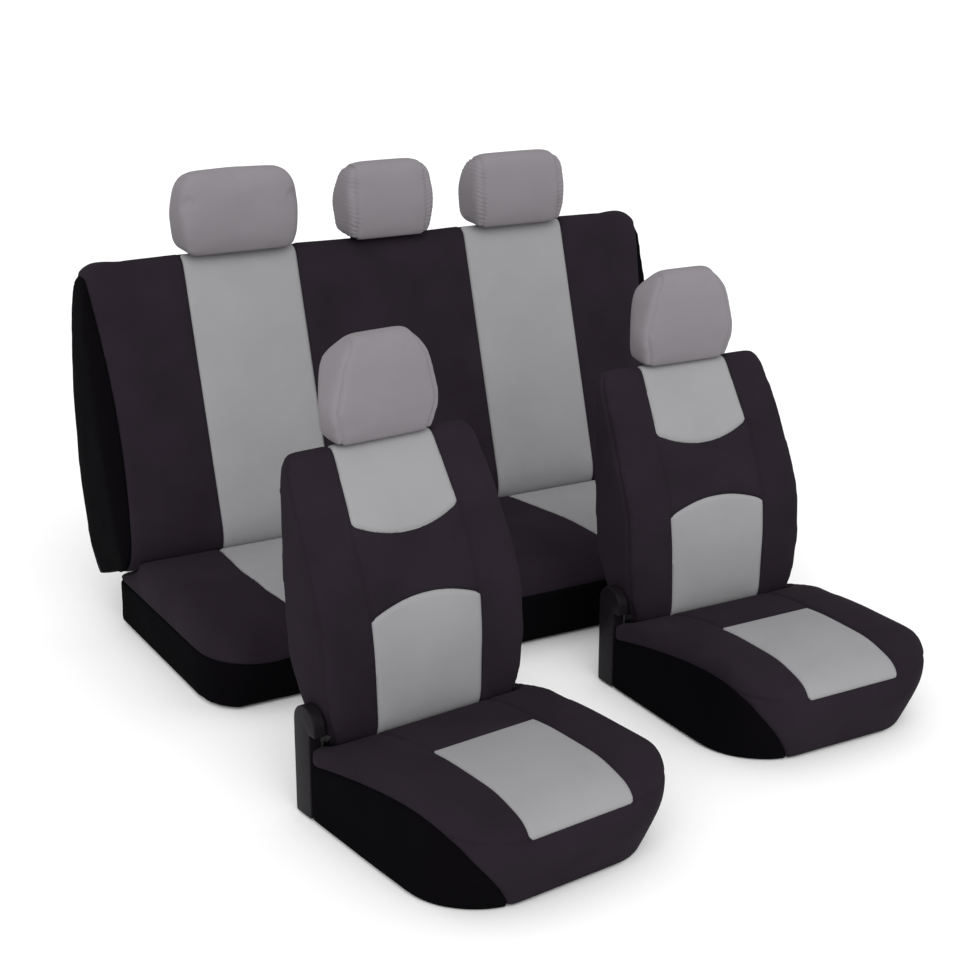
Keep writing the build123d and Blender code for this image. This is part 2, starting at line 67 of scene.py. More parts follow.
def rounded(points, radii, steps=8):
    """The closed outline, in metres, round points in millimetres, with an arc for each corner."""
    outline = []
    count = len(points)
    for i in range(count):
        here = Vector(points[i])
        before = (Vector(points[i - 1]) - here).normalized()
        after = (Vector(points[(i + 1) % count]) - here).normalized()
        half = before.angle(after) / 2
        reach = radii[i] / math.tan(half)
        centre = here + (before + after).normalized() * (radii[i] / math.sin(half))
        first = here + before * reach - centre
        last = here + after * reach - centre
        swing = first.angle_signed(last)
        for k in range(steps + 1):
            turn = Matrix.Rotation(-swing * k / steps, 2)
            outline.append((centre + turn @ first) * MM)
    return outline


def prism(outline, axis, low, high):
    """A closed mesh object: an outline in the plane across the axis, swept along it."""
    def at(point, along):
        """The outline's point at a place along the axis."""
        a, b = point
        return {"X": (along, a, b), "Y": (a, along, b), "Z": (a, b, along)}[axis]

    bm = bmesh.new()
    ends = [[bm.verts.new(at(p, along)) for p in outline] for along in (low, high)]
    count = len(outline)
    for end in ends:
        bm.faces.new(end)
    for i in range(count):
        j = (i + 1) % count
        bm.faces.new((ends[0][i], ends[0][j], ends[1][j], ends[1][i]))
    bmesh.ops.recalc_face_normals(bm, faces=bm.faces)
    return from_bmesh("prism", bm)


def from_bmesh(name, bm):
    """A new object in the scene from a bmesh, which is freed."""
    mesh = bpy.data.meshes.new(name)
    bm.to_mesh(mesh)
    bm.free()
    piece = bpy.data.objects.new(name, mesh)
    bpy.context.scene.collection.objects.link(piece)
    return piece


def settle(piece):
    """Applies the piece's modifiers to its mesh."""
    graph = bpy.context.evaluated_depsgraph_get()
    mesh = bpy.data.meshes.new_from_object(piece.evaluated_get(graph))
    old = piece.data
    piece.modifiers.clear()
    piece.data = mesh
    bpy.data.meshes.remove(old)
    return piece


def combined(piece, tool, operation):
    """The piece cut by the tool or joined to it. The tool is then removed."""
    boolean = piece.modifiers.new("boolean", "BOOLEAN")
    boolean.operation = operation
    boolean.solver = "EXACT"
    boolean.object = tool
    settle(piece)
    bpy.data.objects.remove(tool)
    return piece


def evened(piece, voxel):
    """The form as an even quad mesh."""
    remesh = piece.modifiers.new("remesh", "REMESH")
    remesh.mode = "VOXEL"
    remesh.voxel_size = voxel
    return settle(piece)


def coords(mesh):
    """Vertex coordinates as an array."""
    flat = np.empty(len(mesh.vertices) * 3)
    mesh.vertices.foreach_get("co", flat)
    return flat.reshape(-1, 3)


def set_coords(mesh, points):
    """Writes vertex coordinates back."""
    mesh.vertices.foreach_set("co", np.asarray(points, float).ravel())
    mesh.update()


def vertex_normals(mesh):
    """Vertex normals as an array."""
    flat = np.empty(len(mesh.vertices) * 3)
    mesh.vertex_normals.foreach_get("vector", flat)
    return flat.reshape(-1, 3)


def inflate(piece, held, cap, pressure=4.0, frames=14):
    """Cloth simulation: the cover swells over its foam by at most cap, but not where held(points) is true."""
    start = coords(piece.data)
    pins = piece.vertex_groups.new(name="pins")
    pins.add(np.flatnonzero(held(start)).tolist(), 1.0, "REPLACE")
    cloth = piece.modifiers.new("cloth", "CLOTH")
    cloth.settings.quality = 4
    cloth.settings.mass = 0.3
    cloth.settings.tension_stiffness = 25
    cloth.settings.compression_stiffness = 25
    cloth.settings.bending_stiffness = 2.0
    cloth.settings.use_pressure = True
    cloth.settings.uniform_pressure_force = pressure
    cloth.settings.vertex_group_mass = "pins"
    cloth.settings.effector_weights.gravity = 0
    cloth.collision_settings.use_collision = False
    cloth.point_cache.frame_start = 1
    cloth.point_cache.frame_end = frames
    scene = bpy.context.scene
    for step in range(1, frames + 1):
        scene.frame_set(step)
    settle(piece)
    scene.frame_set(1)
    moved = coords(piece.data) - start
    length = np.linalg.norm(moved, axis=1, keepdims=True)
    soft = cap * np.tanh(length / cap)
    set_coords(piece.data, start + moved * soft / np.maximum(length, 1e-9))
    return piece


def subdivided(piece):
    """The piece with a mesh twice as fine, and smoother."""
    sub = piece.modifiers.new("subdivision", "SUBSURF")
    sub.levels = 1
    sub.render_levels = 1
    return settle(piece)


# ------------------------------------------------------------------ seams and panels

def cut_level(bm, layer, values):
    """Cuts the mesh along the zero line of a value per vertex, so that edges lie on it.

    A vertex that is already close to the line is moved onto it. NaN means that there is no seam.
    """
    for vert, value in zip(bm.verts, values):
        vert[layer] = value
    for edge in bm.edges:
        a, b = edge.verts
        if a[layer] * b[layer] < 0:
            t = a[layer] / (a[layer] - b[layer])
            near, far, part = (a, b, t) if t < 0.5 else (b, a, 1 - t)
            if part < 0.2:
                near.co = near.co.lerp(far.co, part)
                near[layer] = 0.0
    for edge in [e for e in bm.edges if e.verts[0][layer] * e.verts[1][layer] < 0]:
        a, b = edge.verts
        _, middle = bmesh.utils.edge_split(edge, a, a[layer] / (a[layer] - b[layer]))
        middle[layer] = 0.0
    for face in list(bm.faces):
        ends = line_ends(face.verts, layer)
        if ends:
            bmesh.utils.face_split(face, *ends)


def line_ends(verts, layer):
    """The face's two vertices on the line with its negative side between them, or None."""
    verts = list(verts)
    values = [v[layer] for v in verts]
    if not (any(value < 0 for value in values) and any(value > 0 for value in values)):
        return None
    count = len(verts)
    first = next((i for i in range(count) if values[i] < 0 and values[i - 1] == 0), None)
    if first is None:
        return None
    last = first
    while values[(last + 1) % count] < 0:
        last += 1
    if values[(last + 1) % count] != 0:
        return None
    return verts[first - 1], verts[(last + 1) % count]


def field_values(bm, field):
    """The field at every vertex."""
    return field(np.array([v.co for v in bm.verts]))


def sew(bm, field):
    """A sewn seam along the field's zero line: an edge loop on it, sunk in a narrow valley."""
    layer = bm.verts.layers.float.get("level") or bm.verts.layers.float.new("level")
    cut_level(bm, layer, field_values(bm, field))
    even_line(bm, layer)
    bm.normal_update()
    for vert in bm.verts:
        away = vert[layer] / SEAM_WIDTH
        if abs(away) < 2.5:
            vert.co -= vert.normal * (SEAM_DEPTH * math.exp(-away * away))


def even_line(bm, layer, passes=4):
    """Smooths the run of the vertices along the line, so that the seam has no jags."""
    line = {}
    for vert in bm.verts:
        if vert[layer] == 0.0:
            others = [edge.other_vert(vert) for edge in vert.link_edges]
            beside = [other for other in others if other[layer] == 0.0]
            if len(beside) == 2:
                line[vert] = beside
    for _ in range(passes):
        middles = {vert: (a.co + b.co) / 2 for vert, (a, b) in line.items()}
        for vert, middle in middles.items():
            vert.co = vert.co.lerp(middle, 0.5)


def panels(piece, cuts, sewn=()):
    """Sews the piece's seams and parts it into panels.

    cuts are (name, field) pairs: a panel is where its field is negative. What is left is "rest".
    sewn are the fields of seams that stay inside a panel.
    """
    bm = bmesh.new()
    bm.from_mesh(piece.data)
    panel = bm.faces.layers.int.new("panel")
    for field in sewn:
        sew(bm, field)
    for number, (_, field) in enumerate(cuts, 1):
        sew(bm, field)
        level = bm.verts.layers.float["level"]
        for face in bm.faces:
            if face[panel] == 0 and sum(vert[level] for vert in face.verts) < 0:
                face[panel] = number
    parts = {}
    for number, name in enumerate(["rest"] + [name for name, _ in cuts]):
        part = bm.copy()
        mark = part.faces.layers.int["panel"]
        drop = [face for face in part.faces if face[mark] != number]
        bmesh.ops.delete(part, geom=drop, context="FACES")
        turn_in(part)
        parts[name] = part
    bm.free()
    bpy.data.objects.remove(piece)
    return parts


def turn_in(bm):
    """Turns a panel's raw edges in behind it, as the seam allowance is."""
    bm.normal_update()
    rim = [edge for edge in bm.edges if edge.is_boundary]
    inward = {vert: vert.normal.copy() for edge in rim for vert in edge.verts}
    made = bmesh.ops.extrude_edge_only(bm, edges=rim)["geom"]
    new_verts = [g for g in made if isinstance(g, bmesh.types.BMVert)]
    for vert in new_verts:
        for edge in vert.link_edges:
            other = edge.other_vert(vert)
            if other in inward:
                vert.co = other.co - inward[other] * SEAM_ALLOWANCE
                break


def finished(bm, name, place, slot, body, nodes):
    """A panel as a piece: moved to its seat's place, with its slot's finish, and tied to the frame."""
    bm = bm.copy()
    bmesh.ops.transform(bm, matrix=place, verts=bm.verts)
    piece = from_bmesh(name, bm)
    piece.data.materials.append(SLOT_FINISH[slot])
    piece.data.shade_smooth()
    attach(piece, body)
    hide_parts(*nodes)
    return piece


def relaxed(piece, passes, free):
    """Wears edges round: each vertex moves towards its neighbours' middle, by free(points), 0 to 1."""
    mesh = piece.data
    points = coords(mesh)
    ends = np.empty(len(mesh.edges) * 2, dtype=np.int64)
    mesh.edges.foreach_get("vertices", ends)
    first, second = ends.reshape(-1, 2).T
    degree = np.bincount(ends, minlength=len(points))[:, None]
    weight = free(points)[:, None] * 0.5
    for _ in range(passes):
        total = np.zeros_like(points)
        for axis in range(3):
            total[:, axis] += np.bincount(first, points[second, axis], len(points))
            total[:, axis] += np.bincount(second, points[first, axis], len(points))
        points += (total / degree - points) * weight
    set_coords(mesh, points)
    return piece


def softened(line, passes=3):
    """The line with its corners cut again and again, so that it runs smoothly."""
    for _ in range(passes):
        cut = [line[0]]
        for (a, b), (c, d) in zip(line, line[1:]):
            cut.append((0.75 * a + 0.25 * c, 0.75 * b + 0.25 * d))
            cut.append((0.25 * a + 0.75 * c, 0.25 * b + 0.75 * d))
        line = cut + [line[-1]]
    return line


def line_distance(along, up, line):
    """Signed distance in a plane from a polyline that runs from low to high along, positive above it."""
    nearest = np.full(len(along), 1e9)
    for (a0, u0), (a1, u1) in zip(line[:-1], line[1:]):
        run = np.array((a1 - a0, u1 - u0))
        t = ((along - a0) * run[0] + (up - u0) * run[1]) / (run @ run)
        t = np.clip(t, 0, 1)
        away = np.hypot(along - a0 - t * run[0], up - u0 - t * run[1])
        nearest = np.minimum(nearest, away)
    level = np.interp(along, [a for a, _ in line], [u for _, u in line])
    return np.where(up > level, nearest, -nearest)


def near_seams(points, seams, reach):
    """True at the points within reach of any of the seams."""
    return np.any([np.abs(np.nan_to_num(seam(points), nan=1.0)) < reach for seam in seams], axis=0)


def rolled(points, scale, seed):
    """Smooth noise from -1 to 1 at every point, for creases and unevenness."""
    offset = Vector((seed * 7.3, seed * 3.1, seed * 5.7))
    return np.array([noise.noise(Vector(p) * (1 / scale) + offset) for p in points])


def box_tool(low, high):
    """A box mesh object for cutting with."""
    outline = [(low[0], low[1]), (high[0], low[1]), (high[0], high[1]), (low[0], high[1])]
    return prism([Vector(p) for p in outline], "Z", low[2], high[2])


def circle(centre, radius, steps=48):
    """A round outline, in metres."""
    turns = [2 * math.pi * k / steps for k in range(steps)]
    return [Vector((centre[0] + radius * math.cos(t), centre[1] + radius * math.sin(t))) for t in turns]


# ------------------------------------------------------------------ front seats

FRONT_AXIS = (0.0, 0.165)
FRONT_END_R = 0.053
FRONT_CORNER = (0.103, -0.361, 0.128)      # centre and radius of the cushion's front corners in plan
FRONT_PLAN_HALF = 0.232
INSERT_HALF = 0.107                        # the light panel on the cushion: half width and rear edge
INSERT_REAR = -0.205
FRONT_SEAM_Z = 0.130                       # height of the seam across the cushion's front
BACK_FACE = 0.03                           # how deep behind the face line the face's panels reach
BACK_FOOT = 0.13                           # the back's lower end, a round that turns in the cushion
HEADREST_FOOT = 0.634                      # below this the headrest's cover is drawn tight

# The skirts' seams: the distance forward and round the front corner, and the height there
SKIRT_LINE_LEFT = softened([(-0.090, 0.088), (0.0, 0.104), (0.080, 0.124), (0.200, 0.146), (0.330, 0.158),
                            (0.415, 0.149), (0.468, 0.093), (0.510, 0.034), (0.531, 0.0), (0.545, -0.03)])
SKIRT_LINE_RIGHT = softened([(-0.090, 0.088), (0.0, 0.104), (0.080, 0.124), (0.200, 0.146), (0.300, 0.150),
                             (0.350, 0.120), (0.380, 0.060), (0.395, 0.0), (0.402, -0.03)])

# The front back's face and rear in side view: the height, and Y there
FRONT_PROFILE = [(0.118, -0.025), (0.140, -0.045), (0.165, -0.053), (0.290, -0.052), (0.360, -0.045),
                 (0.420, -0.022), (0.509, 0.020), (0.560, 0.048), (0.640, 0.096)]
REAR_PROFILE = [(0.118, 0.025), (0.165, 0.053), (0.272, 0.095), (0.400, 0.108), (0.560, 0.122),
                (0.640, 0.132)]


def profile_y(z, profile):
    """The profile's Y at each height."""
    return np.interp(z, [a for a, _ in profile], [b for _, b in profile])


def front_cushion_insert(p):
    """Negative on the light panel on top of a front cushion."""
    rear = p[:, 1] - INSERT_REAR
    return np.maximum.reduce([np.abs(p[:, 0]) - INSERT_HALF, rear, FRONT_SEAM_Z - p[:, 2]])


def cushion_round(p):
    """Distance round a front cushion's plan: forward along the side, then round the front corner."""
    x, y, radius = FRONT_CORNER
    across, ahead = np.abs(p[:, 0]) - x, y - p[:, 1]
    turn = np.arctan2(np.maximum(ahead, 0), np.maximum(across, 1e-6))
    turned = -y + radius * turn + np.maximum(-across, 0)
    return np.where(ahead > 0, turned, -p[:, 1])


def front_cushion_skirt(p):
    """Negative on a front cushion's dark side panels, which sweep down at the front corners."""
    along = cushion_round(p)
    left = line_distance(along, p[:, 2], SKIRT_LINE_LEFT)
    right = line_distance(along, p[:, 2], SKIRT_LINE_RIGHT)
    return np.where(p[:, 0] < 0, left, right)


def front_cushion_rear_seams(p):
    """Zero along the two seams that spread from the light panel's rear corners to the back."""
    outside = (p[:, 1] < INSERT_REAR + 0.001) | (p[:, 1] > -0.03) | (p[:, 2] < 0.1)
    spread = 0.08 * (p[:, 1] - INSERT_REAR)
    return np.where(outside, NO_SEAM, np.abs(p[:, 0]) - INSERT_HALF - spread)


def front_cushion_nose(p):
    """Zero along the seam across the front of a front cushion, outside the light panel."""
    rise = 0.12 * np.maximum(np.abs(p[:, 0]) - INSERT_HALF, 0)
    away = (front_cushion_skirt(p) < 0.002) | (p[:, 1] > -0.33) | (np.abs(p[:, 0]) < INSERT_HALF)
    return np.where(away, NO_SEAM, p[:, 2] - FRONT_SEAM_Z - rise)


def front_cushion_form():
    """The stuffed form of a front cushion, with the trough that the back's lower end turns in."""
    side = rounded([(62, 3), (62, 120), (-30, 146), (-100, 168), (-250, 182), (-385, 180), (-466, 156),
                    (-488, 105), (-445, 3)], (1, 10, 60, 150, 400, 120, 40, 60, 1))
    plan = rounded([(-231, -489), (231, -489), (233, -200), (231, 62), (-231, 62), (-233, -200)],
                   (128, 128, 900, 12, 12, 900))
    form = prism(side, "X", -0.24, 0.24)
    form = combined(form, prism(plan, "Z", -0.1, 0.3), "INTERSECT")
    across = rounded([(-236, 0), (236, 0), (236, 124), (219, 192), (-219, 192), (-236, 124)],
                     (1, 1, 100, 40, 40, 100))
    form = combined(form, prism(across, "Y", -0.6, 0.2), "INTERSECT")
    trough = prism(circle(FRONT_AXIS, FRONT_END_R - 0.002), "X", -0.203, 0.206)
    form = combined(form, trough, "DIFFERENCE")
    notch = box_tool((-0.3, -0.016, -0.1), (-0.2035, 0.2, 0.4))
    return combined(form, notch, "DIFFERENCE")


def tuck_corners(piece, radius=0.150, height=0.125):
    """Rounds a front cushion's corners more towards the floor, where its hem is pulled underneath."""
    points = coords(piece.data)
    low = np.clip(1 - points[:, 2] / height, 0, 1) ** 2.1
    turn = FRONT_CORNER[2] + (radius - FRONT_CORNER[2]) * low
    front = np.interp(points[:, 2], [0.003, 0.105], [0.445, 0.488])
    across = np.abs(points[:, 0]) - (FRONT_PLAN_HALF - turn)
    ahead = front - turn + points[:, 1]
    reach = np.maximum(np.hypot(across, ahead), 1e-6)
    outside = (across > 0) & (ahead < 0) & (reach > turn) & (points[:, 2] < height)
    pull = np.where(outside, 1 - turn / reach, 0)
    points[:, 0] -= across * pull * np.sign(points[:, 0])
    points[:, 1] -= ahead * pull
    set_coords(piece.data, points)
    return piece


def front_cushion_shape():
    """A front cushion's swollen shape, before its panels are parted."""
    form = tuck_corners(evened(front_cushion_form(), FRONT_VOXEL))

    def free(p):
        """How far the edges may be worn: not at the hem, nor beside the recliner."""
        rise = np.clip((p[:, 2] - 0.012) / 0.03, 0, 1)
        return np.interp(p[:, 1], [-0.12, -0.06], [1.0, 0.3]) * rise

    relaxed(form, 22, free)

    def held(p):
        """The seams, the hem and the rear end keep their place as the cover swells."""
        seams = (front_cushion_insert, front_cushion_skirt, front_cushion_nose)
        return near_seams(p, seams, FRONT_HELD) | (p[:, 2] < 0.02) | (p[:, 1] > -0.08)

    inflate(form, held, SWELL)
    return subdivided(form)


def front_cushion():
    """A front cushion's panels."""
    cuts = [("insert", front_cushion_insert), ("skirts", front_cushion_skirt)]
    return panels(front_cushion_shape(), cuts, sewn=[front_cushion_nose, front_cushion_rear_seams])


def back_depth(p):
    """How far behind the front face a point of a front back lies."""
    return p[:, 1] - profile_y(p[:, 2], FRONT_PROFILE)


def back_upper_insert(p):
    """Negative on the light panel at a front back's shoulders, whose lower edge bows down."""
    half = np.interp(p[:, 2], [0.50, 0.63], [0.111, 0.103])
    foot = 0.482 + 0.027 * (p[:, 0] / 0.111) ** 2
    return np.maximum.reduce([np.abs(p[:, 0]) - half, foot - p[:, 2], back_depth(p) - BACK_FACE])


def back_lower_insert(p):
    """Negative on the light lumbar panel of a front back, whose upper edge is arched."""
    half = 0.110 + 0.005 * np.clip((p[:, 2] - 0.15) / 0.2, 0, 1)
    head = 0.381 - 0.025 * (p[:, 0] / 0.114) ** 2
    return np.maximum.reduce([np.abs(p[:, 0]) - half, p[:, 2] - head, back_depth(p) - BACK_FACE])


def back_side_seam(p):
    """Zero along the seam between a front back's face and its side gusset."""
    return np.where(p[:, 2] < BACK_FOOT, NO_SEAM, back_depth(p) - 0.019)


def back_rear_seam(p):
    """Zero along the seam round a front back's rear panel."""
    rear = profile_y(p[:, 2], REAR_PROFILE) - p[:, 1]
    return np.where(p[:, 2] < 0.19, NO_SEAM, rear - 0.012)


def back_panel_seams(p):
    """Zero along the two upright seams that join the light panels' corners."""
    outside = (p[:, 2] < 0.357) | (p[:, 2] > 0.508) | (back_depth(p) > BACK_FACE)
    return np.where(outside, NO_SEAM, np.abs(p[:, 0]) - 0.1135)


def front_back():
    """A front back's panels."""
    side = rounded([(-50, 165), (-49, 290), (-40, 370), (21, 509), (94, 634), (128, 634), (119, 560),
                    (105, 400), (92, 272), (50, 165)], (1, 300, 130, 260, 15, 15, 400, 400, 120, 1))
    half_outline = [(176, 90), (208, 205), (213, 300), (210, 460), (198, 650)]
    outline = rounded(half_outline + [(-x, z) for x, z in reversed(half_outline)],
                      (40, 75, 300, 300, 64, 64, 300, 300, 75, 40))
    form = prism(side, "X", -0.22, 0.22)
    form = combined(form, prism(circle(FRONT_AXIS, FRONT_END_R - 0.003), "X", -0.22, 0.22), "UNION")
    form = combined(form, prism(outline, "Y", -0.3, 0.3), "INTERSECT")
    evened(form, FRONT_VOXEL)
    relaxed(form, 14, lambda p: np.where(p[:, 2] < BACK_FOOT, 0.3, 1.0))

    def held(p):
        """The seams and the lower end keep their place as the cover swells."""
        seams = (back_upper_insert, back_lower_insert, back_side_seam, back_rear_seam, back_panel_seams)
        return near_seams(p, seams, FRONT_HELD) | (p[:, 2] < BACK_FOOT + 0.005)

    inflate(form, held, SWELL)
    subdivided(form)
    cuts = [("upper_insert", back_upper_insert), ("lower_insert", back_lower_insert)]
    return panels(form, cuts, sewn=[back_panel_seams, back_side_seam, back_rear_seam])


def headrest_form(side_points, side_radii, face_points, face_radii, voxel, plan=None):
    """A headrest's stuffed form from its side outline, half its front outline, and perhaps its plan."""
    form = prism(rounded(side_points, side_radii), "X", -0.2, 0.2)
    mirror_points = face_points + [(-x, z) for x, z in reversed(face_points)]
    outline = rounded(mirror_points, face_radii + face_radii[::-1])
    form = combined(form, prism(outline, "Y", -0.3, 0.4), "INTERSECT")
    if plan:
        form = combined(form, prism(plan, "Z", 0, 1), "INTERSECT")
    evened(form, voxel)
    return relaxed(form, HEADREST_WEAR, lambda p: np.ones(len(p)))


def front_headrest():
    """A front headrest's cover, with a seam between its face and each side."""
    side = [(80, 622), (70, 700), (71, 776), (84, 824), (118, 822), (154, 784), (163, 712), (150, 637),
            (102, 634)]
    face = [(98, 618), (116, 690), (93, 778), (58, 826)]
    plan = rounded([(-120, 50), (120, 50), (120, 112), (84, 166), (-84, 166), (-120, 112)],
                   (1, 1, 40, 40, 40, 40))
    form = headrest_form(side, (8, 60, 60, 18, 20, 50, 60, 16, 8), face, (34, 60, 80, 40), 0.005, plan)

    def gusset(p):
        """Zero along the seams between the face and the sides."""
        half = np.interp(p[:, 2], [0.64, 0.69, 0.77, 0.822], [0.099, 0.112, 0.094, 0.070])
        return np.where(p[:, 1] > 0.112, NO_SEAM, np.abs(p[:, 0]) - (half - 0.010))

    inflate(form, lambda p: near_seams(p, (gusset,), 0.0035) | (p[:, 2] < HEADREST_FOOT), SWELL)
    subdivided(form)
    return panels(form, [], sewn=[gusset])


# ------------------------------------------------------------------ rear bench

BENCH_AXIS = (0.022, 0.205)
BENCH_END_R = 0.058
BENCH_STRIP = (0.213, 0.478)
BENCH_SKIRT_LINE = ((0.25, 0.550, 0.682), (0.116, 0.094, 0.104))    # |X| and the seam's height there
CUSHION_STRIP_INNER = ((-0.47, 0.0), (0.300, 0.234))                # Y and the strips' inner edge there
CUSHION_STRIP_OUTER = ((-0.47, -0.30, -0.19, 0.0), (0.462, 0.496, 0.503, 0.490))
BENCH_SIDE_EDGE = 0.699         # the side panels' front edge, at its ends
BENCH_SIDE_BOW = 0.026          # how far it bows onto the face between them
BENCH_HEADREST_FOOT = 0.798     # below this the headrests' covers are drawn tight
HEADREST_GUSSET = 0.024         # from a bench headrest's side to its seam

# The bench back's face and rear in side view: the height, and Y there
BENCH_FACE = [(0.150, -0.028), (0.205, -0.034), (0.222, -0.034), (0.80, 0.138)]
BENCH_REAR = [(0.086, 0.120), (0.170, 0.222), (0.300, 0.258), (0.500, 0.264), (0.690, 0.238), (0.800, 0.196)]


def bench_skirt(p):
    """Negative below the seam round the bench cushion's front and sides."""
    return p[:, 2] - np.interp(np.abs(p[:, 0]), *BENCH_SKIRT_LINE)


def bench_cushion_strips(p):
    """Negative on the light strips on top of the bench cushion, which taper towards its front."""
    inner = np.interp(p[:, 1], *CUSHION_STRIP_INNER)
    outer = np.interp(p[:, 1], *CUSHION_STRIP_OUTER)
    return np.maximum.reduce([inner - np.abs(p[:, 0]), np.abs(p[:, 0]) - outer, -bench_skirt(p)])


def bench_cushion_shape():
    """The bench cushion's swollen shape, before its panels are parted."""
    side = rounded([(110, 3), (110, 183), (-60, 185), (-250, 187), (-396, 172), (-455, 130), (-471, 95),
                    (-449, 3)], (1, 5, 100, 400, 120, 40, 40, 1))
    plan = rounded([(-675, -472), (675, -472), (675, 110), (-675, 110)], (110, 110, 12, 12))
    form = prism(side, "X", -0.70, 0.70)
    form = combined(form, prism(plan, "Z", -0.1, 0.3), "INTERSECT")
    trough = prism(circle(BENCH_AXIS, BENCH_END_R - 0.003), "X", -0.8, 0.8)
    form = combined(form, trough, "DIFFERENCE")
    behind = [Vector((0.022, 0.147)), Vector((0.152, 0.095)), Vector((0.152, 0.4)), Vector((0.022, 0.4))]
    form = combined(form, prism(behind, "X", -0.8, 0.8), "DIFFERENCE")
    evened(form, BENCH_VOXEL)

    def free(p):
        """How far the edges may be worn: less at the hem and by the back."""
        rise = np.clip((p[:, 2] - 0.015) / 0.03, 0, 1)
        return np.where(p[:, 1] > -0.05, 0.3, 1.0) * rise

    relaxed(form, 16, free)

    def held(p):
        """The seams, the hem and the rear keep their place as the cover swells."""
        near = near_seams(p, (bench_cushion_strips, bench_skirt), BENCH_HELD)
        return near | (p[:, 2] < 0.02) | (p[:, 1] > -0.05)

    inflate(form, held, SWELL)
    return subdivided(form)


def bench_cushion():
    """The bench cushion's panels."""
    return panels(bench_cushion_shape(), [("strips", bench_cushion_strips), ("skirt", bench_skirt)])


def bench_depth(p):
    """How far behind the front face a point of the bench back lies."""
    return p[:, 1] - profile_y(p[:, 2], BENCH_FACE)


def bench_back_strips(p):
    """Negative on the light strips of the bench back's face."""
    inner, outer = BENCH_STRIP
    return np.maximum.reduce([inner - np.abs(p[:, 0]), np.abs(p[:, 0]) - outer, bench_depth(p) - 0.022])


def bench_side_panel(p):
    """Negative on the lens-shaped side panels of the bench back, the same cloth as its face; their near-black
    finish is painted shade.
    """
    bow = BENCH_SIDE_BOW * np.sin(math.pi * np.clip((p[:, 2] - 0.10) / 0.69, 0, 1))
    rear = p[:, 1] - profile_y(p[:, 2], BENCH_REAR) + 0.014
    return np.maximum.reduce([rear, BENCH_SIDE_EDGE - bow - np.abs(p[:, 0]), p[:, 2] - 0.792])


def bench_top_seam(p):
    """Zero along the seam at the rear of the bench back's top."""
    return np.where(p[:, 2] < 0.74, NO_SEAM, profile_y(p[:, 2], BENCH_REAR) - 0.012 - p[:, 1])


def bench_back():
    """The bench back's panels."""
    side = rounded([(-31, 222), (138, 797), (196, 797), (236, 690), (263, 500), (257, 300), (219, 172),
                    (158, 99), (22, 151), (22, 205)], (1, 14, 16, 300, 400, 300, 150, 25, 1, 1))
    outline = rounded([(-704, 50), (704, 50), (706, 600), (702, 798), (-702, 798), (-706, 600)],
                      (20, 20, 900, 52, 52, 900))
    form = prism(side, "X", -0.72, 0.72)
    form = combined(form, prism(circle(BENCH_AXIS, BENCH_END_R - 0.003), "X", -0.72, 0.72), "UNION")
    form = combined(form, prism(outline, "Y", -0.3, 0.5), "INTERSECT")
    evened(form, BENCH_VOXEL)
    relaxed(form, 7, lambda p: np.where(p[:, 2] < 0.2, 0.3, 1.0))

    def held(p):
        """The seams and the lower end keep their place as the cover swells."""
        return near_seams(p, (bench_back_strips, bench_side_panel), BENCH_HELD) | (p[:, 2] < 0.17)

    inflate(form, held, FULLER_SWELL)
    subdivided(form)
    cuts = [("strips", bench_back_strips), ("side_panels", bench_side_panel)]
    return panels(form, cuts, sewn=[bench_top_seam])


def bench_headrest(half, lip, crown, gathers):
    """A bench headrest's cover, centred on X 0, gathered along its side seams or plain.

    half is its half width in metres; lip and crown are the heights of its face's ends in millimetres.
    """
    side = [(108, lip - 6), (97, 860), (110, crown), (172, crown), (205, 880), (200, 799), (134, 798)]
    wide = half / MM
    face = [(wide - 8, lip - 10), (wide + 1, 880), (wide - 8, crown + 1)]
    form = headrest_form(side, (12, 60, 26, 34, 60, 22, 10), face, (42, 80, 46), 0.006)

    def seam(p):
        """Zero along the side seams, a little behind the face."""
        return np.where(p[:, 1] > 0.19, NO_SEAM, np.abs(p[:, 0]) - (half - HEADREST_GUSSET))

    def held(p):
        """The underside keeps its place, and the seams where there are any."""
        return near_seams(p, (seam,), 0.004) & gathers | (p[:, 2] < BENCH_HEADREST_FOOT)

    inflate(form, held, FULLER_SWELL)
    subdivided(form)
    if not gathers:
        return panels(form, [])
    gather(form, half)
    return panels(form, [], sewn=[seam])


def gather(piece, half, depth=0.0016, pitch=0.0095, reach=0.016):
    """Small folds on the side gussets that run out from the drawn-up seams and fade with distance."""
    points = coords(piece.data)
    outside = np.abs(points[:, 0]) - (half - HEADREST_GUSSET)
    wave = np.sin(2 * math.pi * (points[:, 2] - 0.35 * outside) / pitch + 2.5 * rolled(points, 0.03, 3))
    fade = np.exp(-(outside / np.where(outside > 0, reach, reach * 0.4)) ** 2)
    fade *= np.clip(0.75 + 1.1 * rolled(points, 0.03, 5), 0, 1.5)
    set_coords(piece.data, points + vertex_normals(piece.data) * (depth * wave * fade)[:, None])


# ------------------------------------------------------------------ recliner cap

def recliner_cap():
    """The moulded cap outside a front seat's left recliner, with well-rounded edges."""
    outline = rounded([(-16, 4), (35, 4), (35, 214), (-35, 214), (-35, 165), (-16, 165)],
                      (6, 6, 34, 34, 2, 2))
    cap = prism(outline, "X", -0.2315, -0.2095)
    bevel = cap.modifiers.new("bevel", "BEVEL")
    bevel.width = 0.007
    bevel.segments = 5
    bevel.limit_method = "ANGLE"
    bevel.angle_limit = math.radians(60)
    settle(cap)
    bm = bmesh.new()
    bm.from_mesh(cap.data)
    bpy.data.objects.remove(cap)
    return bm


# ------------------------------------------------------------------ finishes

